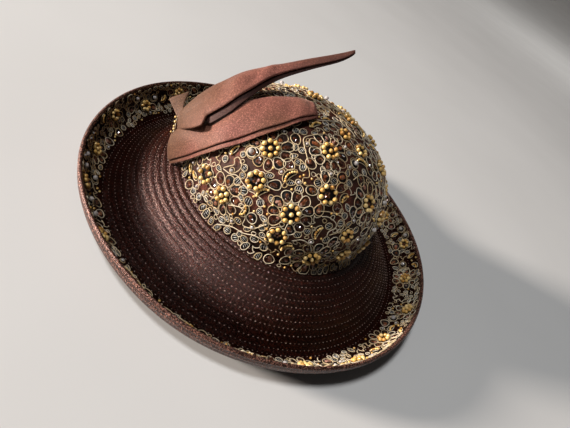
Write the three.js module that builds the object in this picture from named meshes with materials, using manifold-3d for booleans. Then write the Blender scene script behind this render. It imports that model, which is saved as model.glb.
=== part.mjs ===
// A stitched cloth hat: rounded crown, brim with an upturned wall, beaded lace and a folded bow.
// Millimetres, +Z up. The crown's axis is Z, and the hat rests on the crease of its brim at z = 0.
// The wearer's left side is -X, where the bow is, and -Y is the side seen first.

import * as THREE from 'three';
import { mergeVertices } from 'three/addons/utils/BufferGeometryUtils.js';
import Module from 'manifold-3d';

const wasm = await Module();
wasm.setup();

// Sizes of the brim, along the middle of its cloth
const brimCloth = 2.4;
const rimRadius = 179;
const wallRadius = 29.5;
const creaseRadius = 155;
const creaseHeight = 0.3;
const creaseRounding = 4;
const brimInnerRadius = 88.6;
const floorSlope = 0.877;
const floorFlattening = 0.0048;

// Sizes of the crown, outside its cloth
const crownCloth = 2;
const crownSeatRadius = 91;
const crownBulgeRadius = 96;
const crownBulgeHeight = 20;
const crownHeight = 88.5;
const crownRoundness = 2.2;

// Lace: a net with cords sewn on it, flowers with a boss of beads
const seatGap = 0.3;
const laceNet = 1.5;
const petalHeight = 2.6;
const beadHeight = 4.6;
const beadRadius = 7.5;
const flowerRoot = 0.95;
const petalNotch = 0.78;
const crownLaceHem = 8;
const brimLaceTop = 3.5;
const brimLaceHem = 33;

// How finely the round forms are cut into facets. The segments are multiples of four, so that
// the cloth and the lace on it share their corners.
const crownSegments = 36;
const crownRows = 10;
const brimSegments = 44;
const floorRows = 4;
const creaseRows = 3;
const wallRows = 4;
const stepsPerTailRow = 1.5;
const flowerPetals = 6;
const slimmestFacet = 0.05;
const mergeDistance = 1e-4;
const domeLineRows = 40;
const sideLineRows = 10;
const placeHalvings = 30;

// Flowers on the crown: the turn about the axis in degrees, the distance from the crown's top
// measured over the cloth, and the radius of the petals
const crownFlowers = [
  { turn: -25, down: 6, radius: 12 },
  { turn: -68, down: 33, radius: 13 },
  { turn: -12, down: 32, radius: 12 },
  { turn: 56, down: 34, radius: 13 },
  { turn: 126, down: 34, radius: 13 },
  { turn: -109, down: 66, radius: 13 },
  { turn: -64, down: 72, radius: 13 },
  { turn: -31, down: 78, radius: 13 },
  { turn: 6, down: 68, radius: 13 },
  { turn: 44, down: 70, radius: 13 },
  { turn: 82, down: 68, radius: 13 },
  { turn: 124, down: 70, radius: 13 },
  { turn: 172, down: 70, radius: 12 },
  { turn: -103, down: 97, radius: 12 },
  { turn: -80, down: 102, radius: 12 },
  { turn: -44, down: 107, radius: 12 },
  { turn: -14, down: 104, radius: 12 },
  { turn: 22, down: 106, radius: 13 },
  { turn: 60, down: 105, radius: 13 },
  { turn: 98, down: 106, radius: 13 },
  { turn: 136, down: 105, radius: 13 },
  { turn: -58, down: 131, radius: 12 },
  { turn: -118, down: 126, radius: 12 },
  { turn: -26, down: 132, radius: 12 },
  { turn: 4, down: 131, radius: 11 },
  { turn: 42, down: 132, radius: 11 },
  { turn: 80, down: 132, radius: 11 },
  { turn: 120, down: 132, radius: 11 },
  { turn: 176, down: 104, radius: 12 },
  { turn: 160, down: 133, radius: 11 },
];

// Flowers on the brim's wall, evenly spaced, alternately nearer the rim and nearer the crease
const brimFlowerCount = 20;
const brimFlowerRadius = 10.5;
const brimFlowerDown = 17;
const brimFlowerSway = 2.5;

// The bow's tails: a row for each section, with the free lower edge and the folded upper edge
const lowerTail = [
  { low: [-97, -54, 37], fold: [-105, -46, 57] },
  { low: [-83, -63, 58], fold: [-96, -50, 72] },
  { low: [-70, -71, 76], fold: [-83, -53, 86] },
  { low: [-58, -73, 93], fold: [-73, -50, 99] },
  { low: [-47, -68, 105], fold: [-62, -43, 114] },
  { low: [-38, -60, 115], fold: [-51, -31, 123] },
  { low: [-28, -49, 123], fold: [-39, -17, 129] },
  { low: [-17, -35, 129], fold: [-28, -7, 132] },
  { low: [-8, -20, 132], fold: [-16, -5, 134] },
];
const upperTail = [
  { low: [-102, -46, 66], fold: [-108, -40, 74] },
  { low: [-87, -55, 92], fold: [-102, -28, 97] },
  { low: [-72, -52, 108], fold: [-92, -19, 112] },
  { low: [-63, -38, 121], fold: [-77, -7, 126] },
  { low: [-53, -8, 133], fold: [-61, 10, 137] },
  { low: [-36, 17, 148], fold: [-42, 27, 151] },
  { low: [-19, 35, 163], fold: [-22, 41, 166] },
  { low: [-11, 44, 172], fold: [-13, 46, 174] },
];
const backFold = [
  { low: [-103, -43, 67], fold: [-106, -38, 73] },
  { low: [-114, -35, 70], fold: [-111, -28, 78] },
  { low: [-124, -28, 73], fold: [-113, -20, 84] },
];

// The section of a folded tail: two leaves joined at the fold. Across is the share of the way
// from the lower edge to the fold, and lift is in millimetres from the plane between the edges.
const tailSection = [
  { across: 0.0, lift: 2.2 },
  { across: 0.35, lift: 3.3 },
  { across: 0.72, lift: 2.9 },
  { across: 1.0, lift: 0.4 },
  { across: 0.95, lift: -1.4 },
  { across: 0.5, lift: -1.9 },
  { across: -0.14, lift: -1.6 },
  { across: -0.16, lift: -0.3 },
  { across: 0.5, lift: -0.6 },
  { across: 0.86, lift: 0.3 },
  { across: 0.5, lift: 1.9 },
  { across: 0.02, lift: 0.9 },
];
const fullTailWidth = 18;
const endTailShare = 0.35;

// Colours and gloss of the cloths and the lace
const brimLook = { color: 0x3a211c, roughness: 0.75, metalness: 0 };
const crownLook = { color: 0x34201b, roughness: 0.85, metalness: 0 };
const laceLook = { color: 0x8a6a3c, roughness: 0.6, metalness: 0.1 };
const bowLook = { color: 0x6a4038, roughness: 0.8, metalness: 0 };

const wallCentreRadius = rimRadius - wallRadius;
const rimHeight = creaseHeight + Math.sqrt(wallRadius ** 2 - (creaseRadius - wallCentreRadius) ** 2);

function floorHeight(radius) {
  const inward = creaseRadius - radius;
  return creaseHeight + floorSlope * inward - floorFlattening * inward ** 2;
}

function wallPoint(angle) {
  return new THREE.Vector2(
    wallCentreRadius + wallRadius * Math.sin(angle),
    rimHeight - wallRadius * Math.cos(angle),
  );
}

// The middle line of the brim's cloth, from the crown to the rim, as radius and height
function brimLine() {
  const floorEnd = creaseRadius - creaseRounding;
  const wallStart = Math.asin((creaseRadius + creaseRounding - wallCentreRadius) / wallRadius);
  const points = [];
  for (let row = 0; row < floorRows; row += 1) {
    const radius = THREE.MathUtils.lerp(brimInnerRadius, floorEnd, row / floorRows);
    points.push(new THREE.Vector2(radius, floorHeight(radius)));
  }
  const crease = new THREE.QuadraticBezierCurve(
    new THREE.Vector2(floorEnd, floorHeight(floorEnd)),
    new THREE.Vector2(creaseRadius, creaseHeight),
    wallPoint(wallStart),
  );
  points.push(...crease.getPoints(creaseRows));
  for (let row = 1; row <= wallRows; row += 1) {
    points.push(wallPoint(THREE.MathUtils.lerp(wallStart, Math.PI / 2, row / wallRows)));
  }
  return points;
}

// The outer line of the crown's cloth, from its top to its seat, as radius and height
function crownLine(seatHeight) {
  const points = [];
  const domeHeight = crownHeight - crownBulgeHeight;
  const power = 2 / crownRoundness;
  for (let row = 0; row <= domeLineRows; row += 1) {
    const angle = (Math.PI / 2) * (1 - row / domeLineRows);
    const radius = crownBulgeRadius * Math.max(Math.cos(angle), 0) ** power;
    const height = crownBulgeHeight + domeHeight * Math.sin(angle) ** power;
    points.push(new THREE.Vector2(row === 0 ? 0 : radius, seatHeight + height));
  }
  for (let row = 1; row <= sideLineRows; row += 1) {
    const drop = row / sideLineRows;
    const radius = crownSeatRadius + (crownBulgeRadius - crownSeatRadius) * Math.sqrt(1 - drop ** 2);
    points.push(new THREE.Vector2(radius, seatHeight + crownBulgeHeight * (1 - drop)));
  }
  return points;
}

// A line that can be read by the distance along it, and moved sideways by an offset.
// A positive offset lies to the right of the direction in which the line runs, times side.
class SurfaceLine {
  constructor(points, side) {
    this.points = points;
    this.side = side;
    this.lengths = [0];
    for (let i = 1; i < points.length; i += 1) {
      this.lengths.push(this.lengths[i - 1] + points[i].distanceTo(points[i - 1]));
    }
    this.length = this.lengths[this.lengths.length - 1];
  }

  normal(index) {
    const before = this.points[Math.max(index - 1, 0)];
    const after = this.points[Math.min(index + 1, this.points.length - 1)];
    const along = after.clone().sub(before).normalize();
    return new THREE.Vector2(along.y, -along.x).multiplyScalar(this.side);
  }

  at(distance, offset) {
    let index = 1;
    while (index < this.points.length - 1 && this.lengths[index] < distance) {
      index += 1;
    }
    const span = this.lengths[index] - this.lengths[index - 1];
    const share = (distance - this.lengths[index - 1]) / span;
    const point = this.points[index - 1].clone().lerp(this.points[index], share);
    const normal = this.normal(index - 1).lerp(this.normal(index), THREE.MathUtils.clamp(share, 0, 1));
    point.add(normal.normalize().multiplyScalar(offset));
    point.x = Math.max(point.x, 0);
    return point;
  }
}

function turned(point, angle) {
  return new THREE.Vector3(point.x * Math.cos(angle), point.x * Math.sin(angle), point.y);
}

function signedVolume(geometry) {
  const positions = geometry.getAttribute('position');
  const corners = geometry.index.array;
  const [a, b, c] = [new THREE.Vector3(), new THREE.Vector3(), new THREE.Vector3()];
  let sixfold = 0;
  for (let i = 0; i < corners.length; i += 3) {
    a.fromBufferAttribute(positions, corners[i]);
    b.fromBufferAttribute(positions, corners[i + 1]);
    c.fromBufferAttribute(positions, corners[i + 2]);
    sixfold += a.dot(b.cross(c));
  }
  return sixfold / 6;
}

// A closed body from a geometry: shared vertices merged, triangles with no area left out and
// all faces turned outward
function solid(geometry) {
  geometry.deleteAttribute('normal');
  geometry.deleteAttribute('uv');
  const merged = mergeVertices(geometry, mergeDistance);
  const corners = merged.index.array;
  const kept = [];
  for (let i = 0; i < corners.length; i += 3) {
    const [a, b, c] = [corners[i], corners[i + 1], corners[i + 2]];
    if (a !== b && b !== c && c !== a) {
      kept.push(a, b, c);
    }
  }
  merged.setIndex(kept);
  if (signedVolume(merged) < 0) {
    merged.setIndex(kept.reverse());
  }
  return merged;
}

// A solid of revolution about Z from a closed outline of radius and height
function revolved(outline, segments) {
  const geometry = new THREE.LatheGeometry([...outline, outline[0]], segments);
  geometry.rotateX(Math.PI / 2);
  return solid(geometry);
}

// A body from loops of points, one loop for each section. The loops join up in a ring, or
// each end is closed with a cap cut from the flat outline given.
function lofted(loops, flatOutline) {
  const count = loops[0].length;
  const positions = loops.flat().flatMap((point) => point.toArray());
  const corners = [];
  const lastLoop = flatOutline ? loops.length - 1 : loops.length;
  for (let i = 0; i < lastLoop; i += 1) {
    const here = i * count;
    const next = ((i + 1) % loops.length) * count;
    for (let j = 0; j < count; j += 1) {
      const k = (j + 1) % count;
      corners.push(here + j, next + j, next + k, here + j, next + k, here + k);
    }
  }
  if (flatOutline) {
    const end = (loops.length - 1) * count;
    for (const [a, b, c] of THREE.ShapeUtils.triangulateShape(flatOutline, [])) {
      corners.push(c, b, a, end + a, end + b, end + c);
    }
  }
  const geometry = new THREE.BufferGeometry();
  geometry.setAttribute('position', new THREE.Float32BufferAttribute(positions, 3));
  geometry.setIndex(corners);
  return solid(geometry);
}

// A net that covers a revolved surface between two distances along its line
function netSkin(line, distances, segments) {
  const loops = [];
  for (let i = 0; i < segments; i += 1) {
    const angle = (i / segments) * 2 * Math.PI;
    const outside = distances.map((distance) => turned(line.at(distance, seatGap + laceNet), angle));
    const inside = distances.map((distance) => turned(line.at(distance, seatGap), angle));
    loops.push([...outside, ...inside.reverse()]);
  }
  return lofted(loops);
}

// One lace flower: a low scalloped disc with a boss of beads. Place maps flat x, y and a
// height above the cloth to a point in space.
function flower(place, radius) {
  const petals = flowerPetals;
  const ring = (size, notch, height, count) => Array.from({ length: count }, (_, i) => {
    const angle = (i / count) * 2 * Math.PI;
    const reach = i % 2 === 1 ? size * notch : size;
    return place(reach * Math.cos(angle), reach * Math.sin(angle), height);
  });
  const outline = petals * 2;
  const root = ring(radius, petalNotch, flowerRoot, outline);
  const edge = ring(radius, petalNotch, petalHeight, outline);
  const boss = ring(beadRadius, 1, beadHeight, petals);
  const points = [place(0, 0, flowerRoot), ...root, ...edge, ...boss, place(0, 0, beadHeight)];
  const rootStart = 1;
  const edgeStart = rootStart + outline;
  const bossStart = edgeStart + outline;
  const top = points.length - 1;
  const corners = [];
  for (let i = 0; i < outline; i += 1) {
    const next = (i + 1) % outline;
    corners.push(0, rootStart + next, rootStart + i);
    corners.push(rootStart + i, rootStart + next, edgeStart + next);
    corners.push(rootStart + i, edgeStart + next, edgeStart + i);
  }
  for (let i = 0; i < petals; i += 1) {
    const next = (i + 1) % petals;
    const tip = edgeStart + 2 * i;
    const notch = tip + 1;
    const nextTip = edgeStart + 2 * next;
    corners.push(bossStart + i, tip, notch);
    corners.push(bossStart + i, notch, bossStart + next);
    corners.push(bossStart + next, notch, nextTip);
    corners.push(top, bossStart + i, bossStart + next);
  }
  const geometry = new THREE.BufferGeometry();
  const positions = points.flatMap((point) => point.toArray());
  geometry.setAttribute('position', new THREE.Float32BufferAttribute(positions, 3));
  geometry.setIndex(corners);
  return solid(geometry);
}

function asManifold(geometry) {
  return new wasm.Manifold(new wasm.Mesh({
    numProp: 3,
    vertProperties: new Float32Array(geometry.getAttribute('position').array),
    triVerts: new Uint32Array(geometry.index.array),
  }));
}

// Several bodies that meet, joined into one
function fused(geometries) {
  const joined = geometries.map(asManifold).reduce((whole, body) => whole.add(body));
  const mesh = joined.simplify(slimmestFacet).getMesh();
  const geometry = new THREE.BufferGeometry();
  geometry.setAttribute('position', new THREE.Float32BufferAttribute(mesh.vertProperties, 3));
  geometry.setIndex([...mesh.triVerts]);
  return geometry;
}

// The folded cloth tail of a bow, swept through its sections
function foldedTail(sections) {
  const lowEdge = new THREE.CatmullRomCurve3(sections.map((row) => new THREE.Vector3(...row.low)));
  const foldEdge = new THREE.CatmullRomCurve3(sections.map((row) => new THREE.Vector3(...row.fold)));
  const steps = Math.round((sections.length - 1) * stepsPerTailRow);
  const loops = [];
  for (let step = 0; step <= steps; step += 1) {
    const share = step / steps;
    const low = lowEdge.getPoint(share);
    const across = foldEdge.getPoint(share).sub(low);
    const width = across.length();
    const along = lowEdge.getTangent(share).add(foldEdge.getTangent(share));
    const outward = across.clone().cross(along).normalize().negate();
    const fullness = Math.max(Math.min(1, width / fullTailWidth), endTailShare);
    loops.push(tailSection.map((corner) => low.clone()
      .addScaledVector(across, corner.across)
      .addScaledVector(outward, corner.lift * fullness)));
  }
  const outline = tailSection.map((corner) => new THREE.Vector2(corner.across * fullTailWidth, corner.lift));
  return lofted(loops, outline);
}

function piece(name, geometry, look) {
  geometry.computeVertexNormals();
  const part = new THREE.Mesh(geometry, new THREE.MeshStandardMaterial(look));
  part.name = name;
  return part;
}

// Brim: both faces of the cloth, a rounded rim, and a flat ring under the crease to rest on
function brim() {
  const line = new SurfaceLine(brimLine(), -1);
  const half = brimCloth / 2;
  const upper = line.points.map((_, i) => line.at(line.lengths[i], half));
  const lower = line.points.map((_, i) => line.at(line.lengths[i], -half));
  const restingFrom = creaseRadius - creaseRounding / 2;
  const restingTo = creaseRadius + creaseRounding;
  for (const point of lower) {
    if (point.x > restingFrom && point.x < restingTo) {
      point.y = 0;
    }
  }
  const rimTip = new THREE.Vector2(rimRadius, rimHeight + half);
  return revolved([...lower, rimTip, ...upper.reverse()], brimSegments);
}

// Crown: a hollow dome whose lower edge stands on the brim's inner edge
function crown(line) {
  const distances = crownDistances(line);
  const outside = distances.map((distance) => line.at(distance, 0));
  const inside = distances.map((distance) => line.at(distance, -crownCloth));
  return revolved([...outside, ...inside.reverse()], crownSegments);
}

function crownDistances(line) {
  return Array.from({ length: crownRows + 1 }, (_, row) => (line.length * row) / crownRows);
}

// Maps flat x, y about a flower's centre on to the crown by its direction from inside the dome
function placeOnCrown(line, seatHeight, { turn, down }) {
  const centre = turned(line.at(down, 0), THREE.MathUtils.degToRad(turn));
  const eye = new THREE.Vector3(0, 0, seatHeight + crownBulgeHeight);
  const before = line.at(down - 1, 0);
  const after = line.at(down + 1, 0);
  const slope = after.sub(before).normalize();
  const angle = THREE.MathUtils.degToRad(turn);
  const downward = turned(slope, angle);
  const sideways = new THREE.Vector3(-Math.sin(angle), Math.cos(angle), 0);
  return (x, y, height) => {
    const aim = centre.clone().addScaledVector(sideways, x).addScaledVector(downward, y).sub(eye);
    const rise = Math.atan2(aim.z, Math.hypot(aim.x, aim.y));
    let near = 0;
    let far = line.length;
    for (let i = 0; i < placeHalvings; i += 1) {
      const middle = (near + far) / 2;
      const point = line.at(middle, 0);
      if (Math.atan2(point.y - eye.z, point.x) > rise) {
        near = middle;
      } else {
        far = middle;
      }
    }
    return turned(line.at(near, height), Math.atan2(aim.y, aim.x));
  };
}

function crownLace(line, seatHeight) {
  const hem = line.length - crownLaceHem;
  const distances = [...crownDistances(line).filter((distance) => distance < hem - 1), hem];
  const net = netSkin(line, distances, crownSegments);
  const flowers = crownFlowers.map((row) => flower(placeOnCrown(line, seatHeight, row), row.radius));
  return fused([net, ...flowers]);
}

function brimLace() {
  const points = brimLine().reverse();
  const line = new SurfaceLine(points, 1);
  const half = brimCloth / 2;
  const between = line.lengths.filter((length) => length > brimLaceTop + 1 && length < brimLaceHem - 1);
  const distances = [brimLaceTop, ...between, brimLaceHem];
  const shifted = { at: (distance, offset) => line.at(distance, half + offset) };
  const net = netSkin(shifted, distances, brimSegments);
  const flowers = Array.from({ length: brimFlowerCount }, (_, i) => {
    const angle = ((i + 0.5) / brimFlowerCount) * 2 * Math.PI;
    const down = brimFlowerDown + (i % 2 === 0 ? brimFlowerSway : -brimFlowerSway);
    const reach = shifted.at(down, 0).x;
    const place = (x, y, height) => turned(shifted.at(down + y, height), angle + x / reach);
    return flower(place, brimFlowerRadius);
  });
  return fused([net, ...flowers]);
}

const upperFaceAtSeat = floorHeight(crownSeatRadius - crownCloth) + brimCloth / 2;
const seatHeight = upperFaceAtSeat + seatGap;
const crownOuterLine = new SurfaceLine(crownLine(seatHeight), -1);

const hat = new THREE.Group();
hat.add(
  piece('brim', brim(), brimLook),
  piece('crown', crown(crownOuterLine), crownLook),
  piece('crown_lace', crownLace(crownOuterLine, seatHeight), laceLook),
  piece('brim_lace', brimLace(), laceLook),
  piece('bow_lower_tail', foldedTail(lowerTail), bowLook),
  piece('bow_upper_tail', foldedTail(upperTail), bowLook),
  piece('bow_back_fold', foldedTail(backFold), bowLook),
);

export default hat;
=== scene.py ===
import math

import bmesh
import bpy
import numpy as np
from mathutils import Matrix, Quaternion, Vector


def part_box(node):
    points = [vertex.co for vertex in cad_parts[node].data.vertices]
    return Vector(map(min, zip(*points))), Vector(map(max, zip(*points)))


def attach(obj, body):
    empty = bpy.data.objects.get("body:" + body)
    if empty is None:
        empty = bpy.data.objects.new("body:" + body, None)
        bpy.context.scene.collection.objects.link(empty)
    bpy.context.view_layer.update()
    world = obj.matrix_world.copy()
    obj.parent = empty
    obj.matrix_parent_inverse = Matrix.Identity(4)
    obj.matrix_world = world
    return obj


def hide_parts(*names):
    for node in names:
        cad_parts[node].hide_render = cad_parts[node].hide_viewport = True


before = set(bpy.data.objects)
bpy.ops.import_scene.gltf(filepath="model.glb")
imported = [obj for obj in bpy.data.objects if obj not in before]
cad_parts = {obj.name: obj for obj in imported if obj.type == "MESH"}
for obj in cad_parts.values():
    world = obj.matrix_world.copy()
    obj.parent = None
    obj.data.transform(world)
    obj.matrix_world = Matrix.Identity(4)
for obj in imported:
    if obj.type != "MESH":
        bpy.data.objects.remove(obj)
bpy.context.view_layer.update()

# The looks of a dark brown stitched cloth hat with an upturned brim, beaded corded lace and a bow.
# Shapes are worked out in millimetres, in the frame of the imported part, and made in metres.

METRES = 0.001
TURN = 2 * math.pi

# Brim, along the middle of its cloth
BRIM_CLOTH = 2.4
RIM_RADIUS = 179
WALL_RADIUS = 29.5
CREASE_RADIUS = 155
CREASE_HEIGHT = 0.3
CREASE_ROUNDING = 4
BRIM_INNER_RADIUS = 88.6
FLOOR_SLOPE = 0.877
FLOOR_FLATTENING = 0.0048
ROW_PITCH = 5.7
RIDGE = 0.62
WALL_RIDGE_SHARE = 0.5
OUTER_RIDGE_SHARE = 0.4
RIDGE_FADE_START = 14
RIDGE_FADE = 30
# The band at the rim and how far it fades in, in millimetres: there the cloth's outer face gets a painted
# highlight as a grazing sheen, and its outer stitches are painted dark as shade
PAINTED_RIM_BAND = 15
PAINTED_RIM_BAND_FADE = 7
STITCH_PITCH = 4.1
STITCH_STAND = -0.05
STITCH_HALF_LENGTH = 0.8
STITCH_HALF_WIDTH = 0.45
ROPE_PITCH = 2.3
BRIM_SEGMENTS = 300
UPPER_STEPS_PER_ROW = 6
LOWER_STEPS_PER_ROW = 5

# The brim is uneven only outside the first radius, and its wall only outside the second one
UNEVEN_FROM = 100
UNEVEN_REACH = 80
WALL_FROM = 150
WALL_HEIGHT = 30

# Crown, outside its cloth
CROWN_CLOTH = 2
SEAT_RADIUS = 91
BULGE_RADIUS = 96
BULGE_HEIGHT = 20
CROWN_HEIGHT = 88.5
CROWN_ROUNDNESS = 2.2
SEAT_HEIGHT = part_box("crown")[0][2] / METRES

# Lace: radii of its cords, threads and beads, and how high above the cloth they and the net lie
CORD = 0.31
CORD_ABOVE = 0.95
CORD_SIDES = 5
LONG_CORD = 1.1 * CORD
LONG_CORD_ABOVE = 1.5
THREAD = 0.2
THREAD_ABOVE = 0.75
THREAD_SIDES = 4
BEAD = 1.95
SMALL_BEAD = 1.05
NET_LEVELS = (0.25, 0.55, 0.62)

# Petals, the lace's hems and the leaves along the crown's hem
PETAL_LENGTH = 5.0
PETAL_WIDTH = 4.2
PETAL_REACH = 7.2
PETAL_MARGIN = 3.6
CROWN_LACE_BARE = 0.5
LACE_FLARE = 9
HEM_LEAVES = 92
HEM_LEAF = (4.2, 2.6)
WALL_LACE_TOP = 2.2
WALL_LACE_HEM = 35
WALL_PETALS_BELOW = 28.5
WALL_PETALS_FROM = CREASE_RADIUS + 1

# Flowers on the crown: turn about the axis in degrees, millimetres down from the top, radius of
# the ring of beads, how many beads and how many petals, and whether a bead fills the middle
CROWN_FLOWERS = [
    (-109, 73, 6.0, 8, 10, True), (-102, 98, 6.0, 8, 0, False), (-111, 125, 5.4, 7, 9, True),
    (-125, 126, 6.2, 7, 0, False), (-79, 104, 6.0, 8, 11, True), (-68, 44, 6.0, 8, 11, True),
    (-64, 80, 6.4, 8, 5, False), (-14, 41, 4.8, 8, 0, False), (-24, 22, 4.4, 6, 6, False),
    (-79, 125, 6.0, 8, 0, False), (-57, 137, 6.0, 8, 10, True), (-39, 131, 5.0, 7, 0, True),
    (-45, 109, 4.6, 7, 0, False), (-31, 84, 5.6, 8, 10, False), (56, 34, 6.0, 8, 11, True),
    (126, 34, 6.0, 8, 10, True), (6, 68, 6.0, 8, 10, True), (44, 70, 5.0, 7, 0, False),
    (82, 68, 6.0, 8, 11, True), (124, 70, 5.4, 7, 0, False), (172, 70, 6.0, 8, 11, True),
    (-14, 104, 5.4, 7, 0, True), (22, 106, 6.0, 8, 11, True), (60, 105, 5.0, 7, 0, False),
    (98, 106, 6.0, 8, 11, True), (136, 105, 6.0, 8, 0, False), (-18, 135, 6.0, 8, 10, True),
    (4, 131, 5.0, 7, 0, False), (42, 132, 6.0, 8, 10, True), (80, 132, 5.0, 7, 0, False),
    (120, 132, 6.0, 8, 10, True), (176, 104, 5.4, 7, 0, False), (160, 133, 6.0, 8, 10, True),
    (-158, 128, 6.0, 8, 10, True), (-148, 96, 5.4, 8, 8, False),
]

# Rows of small beads in a kidney of cord: turn and millimetres down of the tail, then the head
CROWN_COMMAS = [
    (-98, 106, -95, 97), (-98, 118, -98, 127), (-122, 98, -123, 90), (-63, 115, -62, 105),
    (-74, 136, -71, 128), (-54, 82, -50, 77), (-30, 46, -18, 53), (-105, 29, -101, 18),
    (-110, 9, -60, 4), (76, 22, 66, 34), (60, 47, 26, 44), (-91, 85, -88, 74),
    (150, 52, 146, 62), (20, 84, 26, 91), (110, 88, 104, 84), (62, 88, 66, 80), (148, 120, 150, 111),
    (100, 134, 97, 126), (24, 128, 27, 136), (60, 134, 62, 126), (0, 92, 3, 85), (-170, 88, -164, 84),
]

# Where the largest clear bead of the crown sits: turn and millimetres down
CROWN_CLEAR_BEAD = (-115, 85)

# Round and oval loops filled with black and crossed by silver threads: turn, down and radius
CROWN_HATCHED = [
    (-111, 97, 2.6), (-109, 102, 2.5), (-109, 108, 3.1), (-104, 110, 3.7), (-99, 114, 3.6),
    (-94, 109, 3.0), (-114, 112, 2.7), (-117, 116, 2.6), (-117, 91, 2.4), (-122, 104, 2.6),
    (-87, 140, 3.5), (-81, 143, 3.5), (-87, 126, 2.6), (-85, 132, 2.5), (-81, 85, 3.3),
    (-72, 74, 3.2), (-61, 68, 3.0), (-64, 90, 3.2), (-54, 88, 3.4), (-50, 93, 2.8),
    (-56, 115, 3.0), (-90, 67, 2.6), (-104, 40, 3.2), (41, 26, 2.8), (-39, 58, 3.4),
    (-105, 145, 3.0), (-100, 149, 3.2), (-95, 150, 3.2), (-91, 146, 3.2), (-98, 134, 3.1),
    (-92, 115, 2.6), (-83, 12, 3.0), (160, 14, 3.2),
]

# Long cords: turn and millimetres down of the places that each passes
CROWN_CORDS = [
    [(-119, 109), (-117, 104), (-116, 101), (-118, 98), (-117, 95), (-113, 97), (-112, 101), (-113, 106)],
    [(-119, 110), (-114, 108), (-111, 105), (-106, 106), (-102, 107), (-99, 106), (-94, 106)],
    [(-64, 97), (-60, 96), (-55, 99), (-54, 103), (-57, 107), (-57, 111)],
    [(-67, 94), (-60, 92), (-52, 94), (-49, 100), (-51, 106), (-56, 110)],
    [(-90, 64), (-82, 67), (-79, 73), (-82, 76), (-80, 80), (-75, 78)],
    [(-106, 152), (-99, 143), (-93, 141), (-87, 136), (-81, 137)],
    [(-150, 18), (120, 15), (70, 14), (40, 21), (32, 28)],
    [(-170, 28), (110, 26), (70, 27), (50, 35), (40, 47)],
    [(-130, 26), (-112, 18), (-80, 8), (10, 9), (16, 22), (4, 30)],
    [(-97, 30), (-88, 24), (-80, 28), (-92, 36), (-98, 46), (-90, 55), (-84, 62)],
    [(-44, 64), (-34, 60), (-24, 64), (-18, 74), (-22, 82)],
    [(-106, 128), (-100, 122), (-96, 126), (-95, 134), (-90, 130), (-86, 120)],
    [(-72, 124), (-68, 120), (-63, 122), (-60, 128)],
    [(40, 54), (52, 58), (62, 52), (72, 50), (84, 54)],
    [(120, 50), (134, 56), (148, 50), (160, 54)],
    [(100, 84), (92, 90), (84, 86), (76, 92), (70, 100)],
    [(30, 84), (38, 90), (46, 86), (54, 92)],
    [(110, 120), (104, 126), (98, 120), (90, 124), (84, 120)],
    [(20, 120), (28, 116), (34, 122), (30, 130)],
]
WALL_FLOWERS = 22
WALL_FLOWER_DOWN = 16
WALL_FLOWER_SWAY = 4
WALL_RING = 4.7

# The bow's tails: the free lower edge and the folded upper edge of each section
LOWER_TAIL = [
    ((-96, -55, 36), (-105, -46, 57)),
    ((-82, -64, 57), (-96, -50, 72)),
    ((-70, -71, 76), (-83, -53, 86)),
    ((-58, -73, 93), (-73, -50, 99)),
    ((-47, -67, 105), (-63, -42, 115)),
    ((-38, -60, 115), (-52, -30, 124)),
    ((-28, -49, 123), (-39, -17, 129)),
    ((-18, -34, 130), (-28, -8, 132)),
    ((-8, -19, 133), (-16, -5, 134)),
]
UPPER_TAIL = [
    ((-102, -46, 66), (-108, -40, 74)),
    ((-85, -57, 90), (-100, -31, 95)),
    ((-73, -51, 109), (-91, -20, 110)),
    ((-65, -36, 123), (-77, -7, 126)),
    ((-55, -6, 135), (-61, 10, 137)),
    ((-37, 18, 149), (-42, 27, 151)),
    ((-19, 35, 163), (-22, 41, 166)),
    ((-11, 44, 172), (-13, 46, 174)),
]
BACK_FOLD = [
    ((-103, -43, 67), (-106, -38, 73)),
    ((-114, -35, 70), (-111, -28, 78)),
    ((-124, -28, 73), (-113, -20, 84)),
]

# The bit of beaded cord at the root of the bow
ROOT_CORD = [(-108, -41, 70), (-106, -45, 66), (-104, -47, 61), (-105, -48, 56)]
ROOT_BEADS = (0.08, 0.3, 0.52, 0.66, 0.9)

# The section of a folded tail: the share of the way from the lower edge to the fold, and the
# lift in millimetres
TAIL_SECTION = [
    (0.0, 2.2), (0.35, 3.3), (0.72, 2.9), (1.0, 0.4), (0.95, -1.4), (0.5, -1.9),
    (-0.14, -1.6), (-0.16, -0.3), (0.5, -0.6), (0.86, 0.3), (0.5, 1.9), (0.02, 0.9),
]
SECTION_POINTS = 72
FRONT_LEAF_ABOVE = 0.3
FULL_TAIL_WIDTH = 18
END_TAIL_SHARE = 0.35

# Where the pocket between the two leaves lies, counted in points of the section; it gets painted shade
POCKET = (5.8, 10.4)

# Over which share of its length a tail's leaves part, how far across the free edge reaches, how
# far the lip stands out before they part, and from where the tail rounds off to its tip
PARTING_SHARE = 0.035
FREE_EDGE = 0.45
CLOSED_LIP = 0.15
TIP_FROM = 0.955
TIP_NARROWING = 0.85

# The rings that close a tail's ends: their size and how far out they stand in millimetres
END_RINGS = ((0.88, 0.25), (0.6, 0.42), (0.2, 0.5))

# Each tail: its rows, how many sections it is lofted through, how it opens and the flat size of
# its cloth. An opening says from which share of its length the two leaves part, how wide the lip
# below is, how far the front leaf hangs down before that, how thick the tail is at its free edge
# and how far back the lip turns.
TAILS = {
    "bow_lower_tail": (LOWER_TAIL, 110, (-0.2, 0.72, 0, 0.72, 0.4), (0.056, 0.17)),
    "bow_upper_tail": (UPPER_TAIL, 160, (0.165, 0.9, 0.31, 1.0, 2.0), (0.044, 0.19)),
    "bow_back_fold": (BACK_FOLD, 30, (-0.2, 0.4, 0, 0.8, 0), (0.027, 0.022)),
}

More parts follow.
